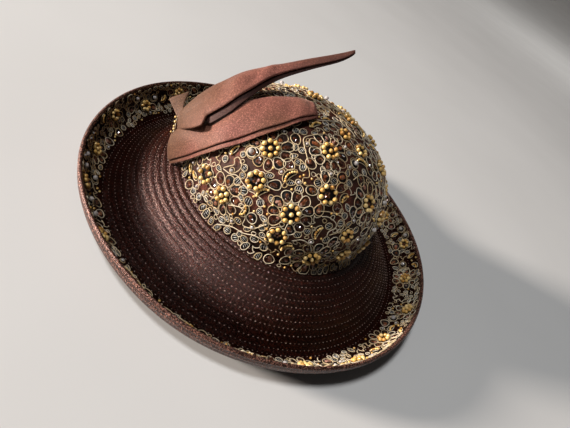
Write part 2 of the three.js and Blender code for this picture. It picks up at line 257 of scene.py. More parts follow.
# Soft dents and swells of a tail: share of its length and how long, share across and how wide, and
# the lift in millimetres
DENTS = {
    "bow_lower_tail": [
        (0.3, 0.06, 0.6, 0.3, -1.1), (0.42, 0.08, 0.35, 0.3, 1.1), (0.62, 0.05, 0.7, 0.25, -1.2),
        (0.8, 0.05, 0.4, 0.4, -0.9), (0.12, 0.06, 0.5, 0.4, 0.8), (0.95, 0.03, 0.6, 0.3, -1.0),
    ],
    "bow_upper_tail": [
        (0.3, 0.05, 0.75, 0.3, -1.0), (0.38, 0.05, 0.5, 0.3, 1.9), (0.47, 0.035, 0.35, 0.3, -1.2),
        (0.54, 0.04, 0.6, 0.3, 1.6), (0.12, 0.12, 0.42, 0.05, -0.9), (0.7, 0.08, 0.5, 0.4, 0.8),
    ],
    "bow_back_fold": [],
}

chance = np.random.default_rng(11)


# Lines and places

def unit(vectors):
    return vectors / np.maximum(np.linalg.norm(vectors, axis=-1, keepdims=True), 1e-9)


class SurfaceLine:
    """A line of radius and height that is read by the distance along it and moved along its normal."""

    def __init__(self, points):
        self.points = np.array(points, dtype=float)
        steps = np.linalg.norm(np.diff(self.points, axis=0), axis=1)
        self.lengths = np.concatenate([[0.0], np.cumsum(steps)])
        self.length = float(self.lengths[-1])
        along = unit(np.gradient(self.points, self.lengths, axis=0))
        self.normals = np.stack([-along[:, 1], along[:, 0]], axis=1)

    def at(self, distance, offset=0.0):
        point = [np.interp(distance, self.lengths, self.points[:, i]) for i in (0, 1)]
        normal = [np.interp(distance, self.lengths, self.normals[:, i]) for i in (0, 1)]
        radius = np.maximum(point[0] + offset * normal[0], 0)
        return radius, point[1] + offset * normal[1]


def bent(start, middle, end, shares):
    """Points on a curve from start to end that is drawn towards the middle."""
    return [(1 - s) ** 2 * start + 2 * s * (1 - s) * middle + s**2 * end for s in shares]


def about_axis(radius, angle, height):
    """Points at a radius and height, turned by an angle about the crown's axis."""
    return np.stack([radius * np.cos(angle), radius * np.sin(angle), height], axis=-1)


def floor_height(radius):
    inward = CREASE_RADIUS - radius
    return CREASE_HEIGHT + FLOOR_SLOPE * inward - FLOOR_FLATTENING * inward**2


def brim_line():
    centre = RIM_RADIUS - WALL_RADIUS
    rim_height = CREASE_HEIGHT + math.sqrt(WALL_RADIUS**2 - (CREASE_RADIUS - centre) ** 2)
    floor_end = CREASE_RADIUS - CREASE_ROUNDING
    start = math.asin((CREASE_RADIUS + CREASE_ROUNDING - centre) / WALL_RADIUS)

    def wall(angle):
        return centre + WALL_RADIUS * math.sin(angle), rim_height - WALL_RADIUS * math.cos(angle)

    points = [(r, floor_height(r)) for r in np.linspace(BRIM_INNER_RADIUS, floor_end, 60)[:-1]]
    low = np.array([floor_end, floor_height(floor_end)])
    middle = np.array([CREASE_RADIUS, CREASE_HEIGHT])
    high = np.array(wall(start))
    points.extend(bent(low, middle, high, np.linspace(0, 1, 16)))
    points.extend(wall(angle) for angle in np.linspace(start, math.pi / 2, 40)[1:])
    return SurfaceLine([tuple(point) for point in points])


def crown_line():
    power = 2 / CROWN_ROUNDNESS
    points = []
    for angle in np.linspace(math.pi / 2, 0, 90):
        radius = BULGE_RADIUS * max(math.cos(angle), 0) ** power
        height = BULGE_HEIGHT + (CROWN_HEIGHT - BULGE_HEIGHT) * math.sin(angle) ** power
        points.append((radius, SEAT_HEIGHT + height))
    for drop in np.linspace(0, 1, 12)[1:]:
        radius = SEAT_RADIUS + (BULGE_RADIUS - SEAT_RADIUS) * math.sqrt(1 - drop**2)
        points.append((radius, SEAT_HEIGHT + BULGE_HEIGHT * (1 - drop)))
    points[0] = (0.0, points[0][1])
    return SurfaceLine(points)


def lace_line():
    """The crown's line down to its bulge, then straight down and out over the brim's first row."""
    points = [tuple(point) for point in CROWN.points if point[1] >= SEAT_HEIGHT + BULGE_HEIGHT]
    start = np.array(points[-1])
    end_radius = SEAT_RADIUS + LACE_FLARE
    end = np.array([end_radius, floor_height(end_radius) + BRIM_CLOTH / 2 + RIDGE])
    bend = np.array([SEAT_RADIUS + 0.35 * LACE_FLARE, floor_height(SEAT_RADIUS) + 3.5])
    for point in bent(start, bend, end, np.linspace(0, 1, 16)[1:]):
        points.append((max(point[0], 0.0), point[1]))
    return SurfaceLine(points)


BRIM = brim_line()
CROWN = crown_line()
LACE_LINE = lace_line()


def ease(points):
    """Slight unevenness of the brim, none at its crease line on the floor and none at the crown."""
    x, y, z = points[..., 0], points[..., 1], points[..., 2]
    angle, reach = np.arctan2(y, x), np.hypot(x, y)
    outward = np.clip((reach - UNEVEN_FROM) / UNEVEN_REACH, 0, 1) ** 2
    on_wall = np.clip((reach - WALL_FROM) / (RIM_RADIUS - WALL_FROM), 0, 1)
    upward = np.clip(z / WALL_HEIGHT, 0, 1) * on_wall
    stretch = 1 + outward * (0.5 * np.sin(3 * angle + 2) + 0.25 * np.sin(7 * angle)) / RIM_RADIUS
    lift = upward * (0.7 * np.sin(2 * angle + 0.7) + 0.3 * np.sin(5 * angle))
    return np.stack([x * stretch, y * stretch, z + lift], axis=-1)


def crown_patch(turn, down, spin=0.0):
    """Maps flat x, y about a place on the crown, and a height above its cloth, to points."""
    angle = math.radians(turn)
    flat = np.array([math.cos(angle), math.sin(angle), 0])
    radius, height = LACE_LINE.at(down)
    centre = flat * radius + np.array([0, 0, height])
    eye = np.array([0, 0, SEAT_HEIGHT + BULGE_HEIGHT])
    before = np.array(LACE_LINE.at(max(down - 1, 0)))
    after = np.array(LACE_LINE.at(down + 1))
    slope = unit(after - before)
    downward = flat * slope[0] + np.array([0, 0, slope[1]])
    sideways = np.array([-math.sin(angle), math.cos(angle), 0])
    rises = np.arctan2(LACE_LINE.points[:, 1] - eye[2], LACE_LINE.points[:, 0])

    def place(xy, above):
        flat_x, flat_y = spun(xy, spin).T
        aim = centre + flat_x[:, None] * sideways + flat_y[:, None] * downward - eye
        rise = np.arctan2(aim[:, 2], np.hypot(aim[:, 0], aim[:, 1]))
        distance = np.interp(-rise, -rises, LACE_LINE.lengths)
        radius, height = LACE_LINE.at(distance, above)
        return about_axis(radius, np.arctan2(aim[:, 1], aim[:, 0]), height)

    return place


def wall_patch(turn, down, spin=0.0):
    """The same on the inside of the brim's wall, with y as the distance down from the rim."""
    reach = BRIM.at(BRIM.length - down, BRIM_CLOTH / 2)[0]

    def place(xy, above):
        flat_x, flat_y = spun(xy, spin).T
        distance = BRIM.length - down - flat_y
        radius, height = BRIM.at(distance, BRIM_CLOTH / 2 + above)
        return ease(about_axis(radius, math.radians(turn) + flat_x / reach, height))

    return place


def spun(xy, angle):
    xy = np.atleast_2d(np.asarray(xy, dtype=float))
    cosine, sine = math.cos(angle), math.sin(angle)
    return xy @ np.array([[cosine, sine], [-sine, cosine]])


def moved(xy, angle, shift):
    return spun(xy, angle) + np.asarray(shift)


def spot_on(place, xy=(0, 0)):
    """The point on the cloth at flat x, y."""
    return place(np.array([xy]), 0.0)[0]


# Mesh making

class Gather:
    """Collects the corners and faces of many small bodies that make one mesh."""

    def __init__(self):
        self.points = []
        self.quads = []
        self.triangles = []
        self.uvs = []
        self.tones = []
        self.count = 0

    def add(self, points, quads=None, triangles=None, uvs=None, tone=0.5):
        points = np.asarray(points).reshape(-1, 3)
        if quads is not None and len(quads):
            quads = np.asarray(quads)
            self.quads.append(quads + self.count)
            self.uvs.append(np.zeros((len(quads), 4, 2)) if uvs is None else uvs)
        if triangles is not None and len(triangles):
            self.triangles.append(np.asarray(triangles) + self.count)
        self.points.append(points)
        self.tones.append(np.full(len(points), tone))
        self.count += len(points)

    def build(self, name, material, smooth=True):
        points = np.concatenate(self.points) * METRES
        quads = np.concatenate(self.quads) if self.quads else np.zeros((0, 4), int)
        triangles = np.concatenate(self.triangles) if self.triangles else np.zeros((0, 3), int)
        mesh = bpy.data.meshes.new(name)
        mesh.from_pydata(points.tolist(), [], quads.tolist() + triangles.tolist())
        uv = np.zeros((len(quads) * 4 + len(triangles) * 3, 2))
        if self.uvs:
            uv[: len(quads) * 4] = np.concatenate(self.uvs).reshape(-1, 2)
        mesh.uv_layers.new(name="UVMap").data.foreach_set("uv", uv.ravel())
        tones = mesh.attributes.new("tone", "FLOAT", "POINT")
        tones.data.foreach_set("value", np.concatenate(self.tones))
        mesh.polygons.foreach_set("use_smooth", [smooth] * len(mesh.polygons))
        mesh.materials.append(material)
        mesh.update()
        piece = bpy.data.objects.new(name, mesh)
        bpy.context.scene.collection.objects.link(piece)
        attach(piece, "root")
        return piece


def grid_quads(rows, columns, rows_close, columns_close):
    row = np.arange(rows if rows_close else rows - 1)
    column = np.arange(columns if columns_close else columns - 1)
    i, j = (a.ravel() for a in np.meshgrid(row, column, indexing="ij"))
    k, m = (i + 1) % rows, (j + 1) % columns
    return np.stack([i * columns + j, k * columns + j, k * columns + m, i * columns + m], axis=1)


def corner_uvs(*corners):
    """The UV of each face from the u and v of its four corners."""
    return np.stack([np.stack(corner, axis=1) for corner in corners], axis=1)


def ring_corners(radius, height, sides):
    turns = [TURN * i / sides for i in range(sides)]
    return [(radius * math.cos(turn), radius * math.sin(turn), height) for turn in turns]


def tube(gather, points, normals, radius, closed, sides=CORD_SIDES, tone=0.5):
    """A round cord along points, with closed ends. UV is the distance along and the turn round."""
    count = len(points)
    if closed:
        tangents = unit(np.roll(points, -1, axis=0) - np.roll(points, 1, axis=0))
    else:
        tangents = unit(np.gradient(points, axis=0))
    across = unit(np.cross(tangents, normals))
    lift = np.cross(across, tangents)
    angles = np.arange(sides) * TURN / sides
    ring = np.cos(angles)[None, :, None] * across[:, None] + np.sin(angles)[None, :, None] * lift[:, None]
    radii = np.full(count, radius)
    if not closed:
        radii[[0, -1]] *= 0.5
    corners = points[:, None] + radii[:, None, None] * ring
    quads = grid_quads(count, sides, closed, True)
    steps = np.linalg.norm(np.diff(points, axis=0), axis=1)
    along = np.concatenate([[0], np.cumsum(steps)])
    spans = len(quads) // sides
    start = along[np.arange(spans) % count]
    stop = np.append(along, along[-1] + steps[-1])[np.arange(spans) + 1]
    side = np.arange(sides) / sides
    u0, v0 = (a.ravel() for a in np.meshgrid(start, side, indexing="ij"))
    u1 = np.repeat(stop, sides)
    v1 = v0 + 1 / sides
    uvs = corner_uvs((u0, v0), (u1, v0), (u1, v1), (u0, v1))
    triangles = []
    if not closed:
        end = (count - 1) * sides
        for j in range(1, sides - 1):
            triangles.append((0, j, j + 1))
            triangles.append((end, end + j + 1, end + j))
    gather.add(corners, quads, triangles, uvs, tone)


def ball(segments, rings):
    """Corners, quads and triangles of a ball of radius 1."""
    corners = [(0, 0, 1)]
    for ring in range(1, rings):
        rise = math.pi * ring / rings
        corners += ring_corners(math.sin(rise), math.cos(rise), segments)
    corners.append((0, 0, -1))
    last = len(corners) - 1
    triangles = []
    for segment in range(segments):
        following = (segment + 1) % segments
        triangles.append((0, 1 + segment, 1 + following))
        triangles.append((last, last - segments + following, last - segments + segment))
    quads = grid_quads(rings - 1, segments, False, True) + 1
    return np.array(corners), quads, np.array(triangles)


BALL = ball(10, 7)
SMALL_BALL = ball(8, 5)


def facet_stone(sides=8):
    """A low cut disc of radius 1 with a flat table: it stands for a cupped, faceted sequin."""
    corners = []
    for radius, height in ((1.0, 0.0), (1.0, 0.12), (0.58, 0.42)):
        corners += ring_corners(radius, height, sides)
    corners.append((0, 0, 0.34))
    corners.append((0, 0, 0))
    top, bottom = len(corners) - 2, len(corners) - 1
    quads, triangles = [], []
    for i in range(sides):
        j = (i + 1) % sides
        quads.append((i, j, sides + j, sides + i))
        quads.append((sides + i, sides + j, 2 * sides + j, 2 * sides + i))
        triangles.append((2 * sides + i, 2 * sides + j, top))
        triangles.append((j, i, bottom))
    return np.array(corners), np.array(quads), np.array(triangles)


STONE = facet_stone()


def basis_at(place, xy, above):
    """The point over flat x, y, and three directions there: along x, along y and outward."""
    probes = place(np.array([xy, (xy[0] + 0.5, xy[1])]), above)
    outward = unit(place(np.array([xy]), above + 1)[0] - probes[0])
    sideways = probes[1] - probes[0]
    sideways = unit(sideways - outward * (sideways @ outward))
    return probes[0], np.stack([sideways, np.cross(outward, sideways), outward])


def set_ball(gather, place, xy, above, radius, shape=BALL, squash=0.93, tone=None):
    centre, basis = basis_at(place, xy, above)
    corners, quads, triangles = shape
    sized = corners * radius * np.array([1, 1, squash])
    tone = chance.random() if tone is None else tone
    gather.add(centre + sized @ basis, quads, triangles, tone=tone)


def set_stone(gather, place, xy, above, radius, tilt):
    centre, basis = basis_at(place, xy, above)
    corners, quads, triangles = STONE
    turn = chance.random() * TURN
    cosine, sine = math.cos(turn), math.sin(turn)
    spin = np.array([[cosine, sine, 0], [-sine, cosine, 0], [0, 0, 1]])
    lean = np.array([[1, 0, 0], [0, math.cos(tilt), math.sin(tilt)], [0, -math.sin(tilt), math.cos(tilt)]])
    gather.add(centre + (corners * radius) @ lean @ spin @ basis, quads, triangles, tone=chance.random())


# Lace motifs. Each is drawn in flat millimetres about its own place.

class Lace:
    """The six kinds of parts of one lace, gathered into one mesh each, and the room they take."""

    def __init__(self):
        self.cords = Gather()
        self.beads = Gather()
        self.sequins = Gather()
        self.pads = Gather()
        self.threads = Gather()
        self.clear = Gather()
        self.centres = np.zeros((0, 3))
        self.radii = np.zeros(0)

    def free(self, point, radius):
        return bool(np.all(np.linalg.norm(self.centres - point, axis=1) >= self.radii + radius))

    def take(self, point, radius):
        self.centres = np.vstack([self.centres, point])
        self.radii = np.append(self.radii, radius)

    def cord(self, place, xy, closed, above=CORD_ABOVE):
        low = place(xy, above)
        outward = unit(place(xy, above + 1) - low)
        tube(self.cords, low, outward, CORD, closed, tone=chance.random())

    def thread(self, place, xy, above, radius):
        low = place(xy, above)
        outward = unit(place(xy, above + 1) - low)
        tube(self.threads, low, outward, radius, False, THREAD_SIDES)

    def net(self, place, outline, centre):
        """A thin patch of black net inside an outline."""
        count = len(outline)
        low, high = place(outline, NET_LEVELS[0]), place(outline, NET_LEVELS[1])
        top = place(np.array([centre]), NET_LEVELS[2])
        base = place(np.array([centre]), NET_LEVELS[0])
        turn = np.arange(count)
        following = (turn + 1) % count
        quads = np.stack([turn, following, count + following, count + turn], axis=1)
        over = np.stack([count + turn, count + following, np.full(count, 2 * count)], axis=1)
        under = np.stack([following, turn, np.full(count, 2 * count + 1)], axis=1)
        self.pads.add(np.vstack([low, high, top, base]), quads, np.vstack([over, under]))


def circle(radius, count, wobble=0.0):
    angles = np.arange(count) * TURN / count
    reach = radius * (1 + wobble * np.sin(2 * angles + 1) + 0.5 * wobble * np.sin(3 * angles))
    return np.stack([reach * np.cos(angles), reach * np.sin(angles)], axis=1)


def petal_outline(length, width, count=20):
    """An oval along y that is a little narrower towards -y."""
    angles = np.arange(count) * TURN / count
    x = width * np.sin(angles) * (1 + 0.2 * np.cos(angles))
    return np.stack([x, length * np.cos(angles)], axis=1)


def petal(lace, place, angle, shift, size=1.0):
    length = PETAL_LENGTH * size * (0.9 + 0.2 * chance.random())
    width = PETAL_WIDTH * size * (0.84 + 0.26 * chance.random())
    outline = petal_outline(length, width)
    wave = 1 + 0.05 * np.sin(3 * np.arange(len(outline)) * TURN / len(outline) + TURN * chance.random())
    lace.cord(place, moved(outline * wave[:, None], angle, shift), True, above=0.9 + 0.5 * chance.random())
    if chance.random() > 0.45:
        lace.net(place, moved(outline[::2] * 0.86, angle, shift), shift)
    stones = chance.integers(2, 5)
    for i in range(stones):
        along = (0.62 * (i + 0.5) / stones - 0.4) * 2 * length * 0.8
        aside = width * 0.5 * (chance.random() - 0.5)
        spot = moved([(aside, along)], angle, shift)[0]
        stone = width * (0.34 + 0.16 * chance.random())
        set_stone(lace.sequins, place, spot, 0.5 + 0.4 * (i % 2), stone, 0.9 * (chance.random() - 0.5))


def flower(lace, place, spin, ring, beads, middle):
    """A ring of beads in a scalloped cord, with a bead or sequins in the middle."""
    angles = np.arange(beads * 6) * TURN / (beads * 6)
    reach = ring + 1.2 + 1.2 * np.abs(np.cos(beads * angles / 2))
    scallop = np.stack([reach * np.cos(angles + spin), reach * np.sin(angles + spin)], axis=1)
    lace.cord(place, scallop, True, above=0.9)
    lace.net(place, circle(ring + 0.8, 12), (0, 0))
    full = min(BEAD, 0.94 * ring * math.sin(math.pi / beads))
    for i in range(beads):
        angle = spin + TURN * (i + 0.14 * (chance.random() - 0.5)) / beads
        radius = full * (0.95 + 0.1 * chance.random())
        out = ring * (0.97 + 0.07 * chance.random())
        set_ball(lace.beads, place, (out * math.cos(angle), out * math.sin(angle)), 0.75 + radius, radius)
    if middle:
        set_ball(lace.beads, place, (0.3, 0), 1.1 + full, full * 0.97)
        return
    for i in range(4):
        angle = spin + TURN * (i + 0.3) / 4
        spot = (1.7 * math.cos(angle), 1.7 * math.sin(angle))
        set_stone(lace.sequins, place, spot, 0.7, 1.5, 0.5)


def hatching(lace, place, xy, radius, count=3):
    """A black filled disc with silver threads slanting across it."""
    lace.net(place, circle(radius, 10) + np.asarray(xy), xy)
    slant = chance.random() * math.pi
    for i in range(count):
        offset = (i - (count - 1) / 2) * radius * 0.62
        half = math.sqrt(max(radius**2 - offset**2, 0.2)) * 0.82
        line = moved([(-half, offset), (0, offset), (half, offset)], slant, xy)
        lace.thread(place, line, THREAD_ABOVE + 0.05, 1.05 * THREAD)


def loop_with_hatching(lace, place, radius):
    lace.cord(place, circle(radius, 12, 0.06), True)
    hatching(lace, place, (0, 0), radius * 0.86)


def leaf(lace, place, length, width, shift=(0, 0), lean=0.0):
    outline = moved(petal_outline(length, width, 14), lean, shift)
    lace.cord(place, outline, True)
    middle = moved([(0, -0.1 * length)], lean, shift)[0]
    lace.net(place, moved(petal_outline(length * 0.8, width * 0.8, 10), lean, shift), middle)
    for i in range(3):
        along = (i - 1) * length * 0.42
        reach = width * 0.62
        line = moved([(-reach, along - 0.5), (0, along), (reach, along + 0.5)], lean, shift)
        lace.thread(place, line, THREAD_ABOVE, THREAD)


def sprig(lace, place):
    """Three hatched leaves on a short wavy stem."""
    stem = np.linspace(-4.6, 4.6, 12)
    lace.cord(place, np.stack([0.7 * np.sin(stem * 0.9), stem], axis=1), False)
    leaf(lace, place, 2.7, 1.5, (2.4, 2.4), -0.8)
    leaf(lace, place, 2.7, 1.5, (-2.5, 0.6), 0.8)
    leaf(lace, place, 2.5, 1.4, (2.3, -2.6), -0.8)


def meander(lace, place):
    """An open cord that wanders over bare ground."""
    along = np.linspace(-5.2, 5.2, 22)
    swing = 2.3 * np.sin(along * 0.95 + 0.6) * (1 + 0.2 * np.sin(along))
    lace.cord(place, np.stack([swing, along + 0.9 * np.sin(along * 1.9)], axis=1), False)


def loop_with_clear_bead(lace, place, radius):
    lace.cord(place, circle(radius, 13, 0.08), True)
    set_ball(lace.clear, place, (0.3, 0), 0.5 + 1.25, 1.25)


def comma(lace, place, length=10.5):
    """A kidney of cord round a bent row of small beads, which runs along y."""
    reach = length / 2 - 1.7
    bend = np.linspace(-1.1, 1.1, 9)
    spine = np.stack([reach * (np.cos(bend) - 0.75) * 0.9, reach * np.sin(bend) / math.sin(1.1)], axis=1)
    outward = np.stack([np.cos(bend), np.sin(bend)], axis=1)
    girth = 2.8 * np.sqrt(np.clip(1 - np.linspace(-0.84, 0.84, 9) ** 2, 0, 1))[:, None]
    outline = np.vstack([spine + outward * girth, (spine - outward * girth)[::-1]])
    lace.cord(place, closed_curve(outline, 26), True)
    lace.net(place, closed_curve(outline, 12) * 0.95, (0, 0))
    for share in np.linspace(0, 1, max(3, round(length / 1.9))):
        spot = open_curve(spine, [share])[0]
        size = SMALL_BEAD * (0.92 + 0.16 * chance.random())
        set_ball(lace.beads, place, spot, 0.6 + size, size, SMALL_BALL)


def spline(before, start, end, after, share):
    """The way from start to end on a smooth curve that also meets the points before and after."""
    square = 2 * before - 5 * start + 4 * end - after
    cube = 3 * start - before - 3 * end + after
    return 0.5 * (2 * start + (end - before) * share + square * share**2 + cube * share**3)


def closed_curve(points, count):
    """Points evenly spaced in index on a smooth closed curve through the points given."""
    total = len(points)
    at = np.arange(count) * total / count
    i = at.astype(int)
    return spline(*(points[(i + k) % total] for k in (-1, 0, 1, 2)), (at - i)[:, None])


def open_curve(points, shares):
    """The same on an open curve, at shares from 0 to 1 of the way through the points."""
    points = np.asarray(points, dtype=float)
    padded = np.vstack([2 * points[0] - points[1], points, 2 * points[-1] - points[-2]])
    at = np.clip(np.asarray(shares), 0, 1) * (len(points) - 1)
    i = np.minimum(at.astype(int), len(points) - 2)
    return spline(*(padded[i + k] for k in range(4)), (at - i)[:, None])


def small_loop(lace, place):
    lace.cord(place, circle(1.5 + 0.5 * chance.random(), 9, 0.12), True)


def big_clear_bead(lace, place):
    """A round loop about one large clear bead, and a wavy cord round it."""
    lace.net(place, circle(3.6, 12), (0, 0))
    set_ball(lace.clear, place, (0, 0), 0.5 + 2.1, 2.1)
    lace.cord(place, circle(3.9, 18, 0.04), True)
    lace.cord(place, circle(5.2, 22, 0.1)[:16], False)


def lone_bead(lace, place):
    set_ball(lace.beads, place, (0, 0), 0.4 + SMALL_BEAD, SMALL_BEAD, SMALL_BALL)


# Small motifs that fill the ground between the flowers, widest first: the radius that each
# takes, how often a place is tried, the most that are made, and what is drawn
FILLERS = [
    (6.0, 900, 16, comma),
    (5.6, 500, 14, big_clear_bead),
    (5.0, 1200, 46, sprig),
    (4.6, 900, 70, lambda lace, place: petal(lace, place, 0, (0, 0))),
    (4.2, 1200, 60, meander),
    (3.3, 1600, 120, lambda lace, place: loop_with_hatching(lace, place, 2.9)),
    (2.8, 1600, 130, lambda lace, place: leaf(lace, place, 3.3, 2.0)),
    (2.6, 1200, 60, lambda lace, place: loop_with_clear_bead(lace, place, 2.2)),
    (1.9, 2200, 330, small_loop),
    (1.2, 900, 120, lone_bead),
]
FILLER_CLOSENESS = 0.82


def fill(lace, pick):
    """Draws each filler where pick finds a place that is still free."""
    for radius, tries, most, draw in FILLERS:
        made = 0
        for _ in range(tries):
            place = pick(radius)
            if place is None or made >= most:
                continue
            centre = spot_on(place)
            if lace.free(centre, radius * FILLER_CLOSENESS):
                draw(lace, place)
                lace.take(centre, radius)
                made += 1


def add_petals(lace, place, spin, count, distance, allowed, size=1.0):
    for i in range(count):
        angle = spin + TURN * i / count
        shift = (distance * math.sin(-angle), distance * math.cos(angle))
        centre = spot_on(place, shift)
        if allowed(centre) and lace.free(centre, 1.9 * size):
            petal(lace, place, angle + 0.25 * (chance.random() - 0.5), shift, size)
            lace.take(centre, 3.2 * size)


def crown_from_above(turn, down):
    """A place on the crown as flat x and y, as if the crown were spread out from its top."""
    return np.array([down * math.cos(math.radians(turn)), down * math.sin(math.radians(turn))])


def crown_cord(lace, stops):
    """A cord over the crown through the places given."""
    flat = open_curve([crown_from_above(*stop) for stop in stops], np.linspace(0, 1, 7 * len(stops)))
    down = np.hypot(flat[:, 0], flat[:, 1])
    turn = np.arctan2(flat[:, 1], flat[:, 0])

    def lifted(above):
        radius, height = LACE_LINE.at(down, above)
        return about_axis(radius, turn, height)

    low = lifted(LONG_CORD_ABOVE)
    outward = unit(lifted(LONG_CORD_ABOVE + 1) - low)
    tube(lace.cords, low, outward, LONG_CORD, False, tone=chance.random())
    for point in low[2:-2:4]:
        lace.take(point, 0.6)


def lay_commas(lace):
    for tail_turn, tail_down, head_turn, head_down in CROWN_COMMAS:
        tail = crown_from_above(tail_turn, tail_down)
        head = crown_from_above(head_turn, head_down)
        x, y = (tail + head) / 2
        down = math.hypot(x, y)
        outward = np.array([x, y]) / down
        sideways = np.array([-outward[1], outward[0]])
        aim = head - tail
        squeeze = float(LACE_LINE.at(down)[0]) / down
        lean = math.atan2(-(aim @ sideways) * squeeze, aim @ outward)
        place = crown_patch(math.degrees(math.atan2(y, x)), down, lean)
        comma(lace, place, 3 + math.hypot(aim @ sideways * squeeze, aim @ outward))
        for along in (-3.4, 0, 3.4):
            lace.take(spot_on(place, (0.0, along)), 2.5)


def lay_hem(lace, hem):
    """Hatched leaves along the crown's hem, in groups with bare ground between them."""
    length, width = HEM_LEAF
    for i in range(HEM_LEAVES):
        size = 0.8 + 0.4 * chance.random()
        turn = 360 * (i + 0.3 * chance.random()) / HEM_LEAVES
        place = crown_patch(turn, hem - 4.2 + 1.6 * math.sin(i * 0.9), chance.random() - 0.5)
        in_group = (i + 3) // 5 % 3 > 0
        if in_group and lace.free(spot_on(place), 2.4):
            leaf(lace, place, length * size, width * size)
            lace.take(spot_on(place), 3.0 * size)


def crown_lace():
    lace = Lace()
    hem = LACE_LINE.length - CROWN_LACE_BARE

    def allowed(point, margin=PETAL_MARGIN):
        middle = SEAT_HEIGHT + BULGE_HEIGHT
        rise = math.atan2(point[2] - middle, math.hypot(point[0], point[1]))
        rises = np.arctan2(LACE_LINE.points[:, 1] - middle, LACE_LINE.points[:, 0])
        return np.interp(-rise, -rises, LACE_LINE.lengths) + margin < hem

    patches = []
    for turn, down, ring, beads, petals, middle in CROWN_FLOWERS:
        place = crown_patch(turn, down)
        spin = chance.random() * TURN
        flower(lace, place, spin, ring, beads, middle)
        lace.take(spot_on(place), ring + 2.6)
        patches.append((place, spin, ring, petals))
    lay_commas(lace)
    for place, spin, ring, petals in patches:
        add_petals(lace, place, spin, petals, ring + PETAL_REACH, allowed)
    place = crown_patch(*CROWN_CLEAR_BEAD)
    big_clear_bead(lace, place)
    lace.take(spot_on(place), 4.6)
    for turn, down, radius in CROWN_HATCHED:
        place = crown_patch(turn, down, chance.random() * TURN)
        if lace.free(spot_on(place), 0.6 * radius):
            loop_with_hatching(lace, place, radius)
            lace.take(spot_on(place), radius)
    lay_hem(lace, hem)
    for stops in CROWN_CORDS:
        crown_cord(lace, stops)
    areas = np.cumsum(LACE_LINE.points[:, 0] * np.gradient(LACE_LINE.lengths))

    def pick(radius):
        turn = chance.random() * 360
        down = float(np.interp(chance.random() * areas[-1], areas, LACE_LINE.lengths))
        spin = chance.random() * TURN
        return None if down + radius > hem else crown_patch(turn, down, spin)

    fill(lace, pick)
    root_beads(lace)
    return lace


def root_beads(lace):
    """A few gold beads on a bit of cord at the root of the bow."""
    path = open_curve(ROOT_CORD, np.linspace(0, 1, 10))
    outward = unit(path * np.array([1, 1, 0]))
    tube(lace.cords, path, outward, 1.3 * CORD, False, tone=0.8)
    corners, quads, triangles = SMALL_BALL
    for share in ROOT_BEADS:
        centre = open_curve(ROOT_CORD, [share])[0] + outward[0] * (0.5 + 0.8 * chance.random())
        size = SMALL_BEAD * (0.9 + 0.3 * chance.random())
        lace.beads.add(centre + corners * size, quads, triangles, tone=0.5 + 0.4 * chance.random())


def wall_lace():
    lace = Lace()

    def allowed(point):
        return point[2] < WALL_PETALS_BELOW and math.hypot(point[0], point[1]) > WALL_PETALS_FROM

    patches = []
    for i in range(WALL_FLOWERS):
        down = WALL_FLOWER_DOWN + (WALL_FLOWER_SWAY if i % 2 == 0 else -WALL_FLOWER_SWAY)
        place = wall_patch((i + 0.5) * 360 / WALL_FLOWERS, down)
        spin = chance.random() * TURN
        flower(lace, place, spin, WALL_RING, 7, i % 3 == 0)
        lace.take(spot_on(place), WALL_RING + 2.2)
        patches.append((place, spin))
    for i, (place, spin) in enumerate(patches):
        if i % 3 != 1:
            add_petals(lace, place, spin, 9, WALL_RING + 6.2, allowed, 0.82)

    def pick(radius):
        turn = chance.random() * 360
        down = WALL_LACE_TOP + chance.random() * (WALL_LACE_HEM - WALL_LACE_TOP)
        spin = chance.random() * TURN
        if down + radius > WALL_LACE_HEM or down - radius < WALL_LACE_TOP - 2.5:
            return None
        return wall_patch(turn, down, spin)

    fill(lace, pick)
    return lace


# Cloth

def ridge(distance, height=RIDGE):
    """How far the cloth stands proud between two rows of stitching."""
    return height * (2 * np.abs(np.sin(math.pi * distance / ROW_PITCH)) ** 0.6 - 1)


def upper_ridge(distance):
    """The same on the upper face, where it is less away from the crown and under the lace."""
    outer = np.clip((distance - RIDGE_FADE_START) / RIDGE_FADE, 0, 1)
    under_lace = np.clip((distance - BRIM.length + WALL_LACE_HEM + 4) / 8, 0, 1)
    share = np.minimum(1 - (1 - OUTER_RIDGE_SHARE) * outer, 1 - (1 - WALL_RIDGE_SHARE) * under_lace)
    return ridge(distance, RIDGE * share)


def revolved_cloth(name, outline, rows, material, uneven, tones):
    """A closed body of revolution. Rows gives the place of each corner counted in sewn rows, and tones how
    much painted highlight, a painted grazing sheen at the rim, brightens the cloth there."""
    angles = np.arange(BRIM_SEGMENTS) * TURN / BRIM_SEGMENTS
    radius, height = outline.T
    heights = np.repeat(height[:, None], BRIM_SEGMENTS, axis=1)
    corners = about_axis(radius[:, None], angles, heights)
    if uneven:
        corners = ease(corners)
        corners[..., 2] = np.maximum(corners[..., 2], 0)
    count = len(outline)
    quads = grid_quads(count, BRIM_SEGMENTS, True, True)[:, ::-1]
    following = np.roll(rows, -1)
    row_number = np.floor((rows + following) / 2)
    ropes = np.round(TURN * (radius + np.roll(radius, -1)) / 2 / ROPE_PITCH / 4) * 4
    ropes = np.array([np.median(ropes[row_number == number]) for number in row_number])
    share = np.arange(BRIM_SEGMENTS + 1) / BRIM_SEGMENTS
    u0 = (ropes[:, None] * share[None, :-1]).ravel()
    u1 = (ropes[:, None] * share[None, 1:]).ravel()
    v0 = np.repeat(rows, BRIM_SEGMENTS)
    v1 = np.repeat(following, BRIM_SEGMENTS)
    uvs = corner_uvs((u1, v0), (u1, v1), (u0, v1), (u0, v0))
    gather = Gather()
    gather.add(corners, quads, None, uvs, np.repeat(tones, BRIM_SEGMENTS))
    return gather.build(name, material)


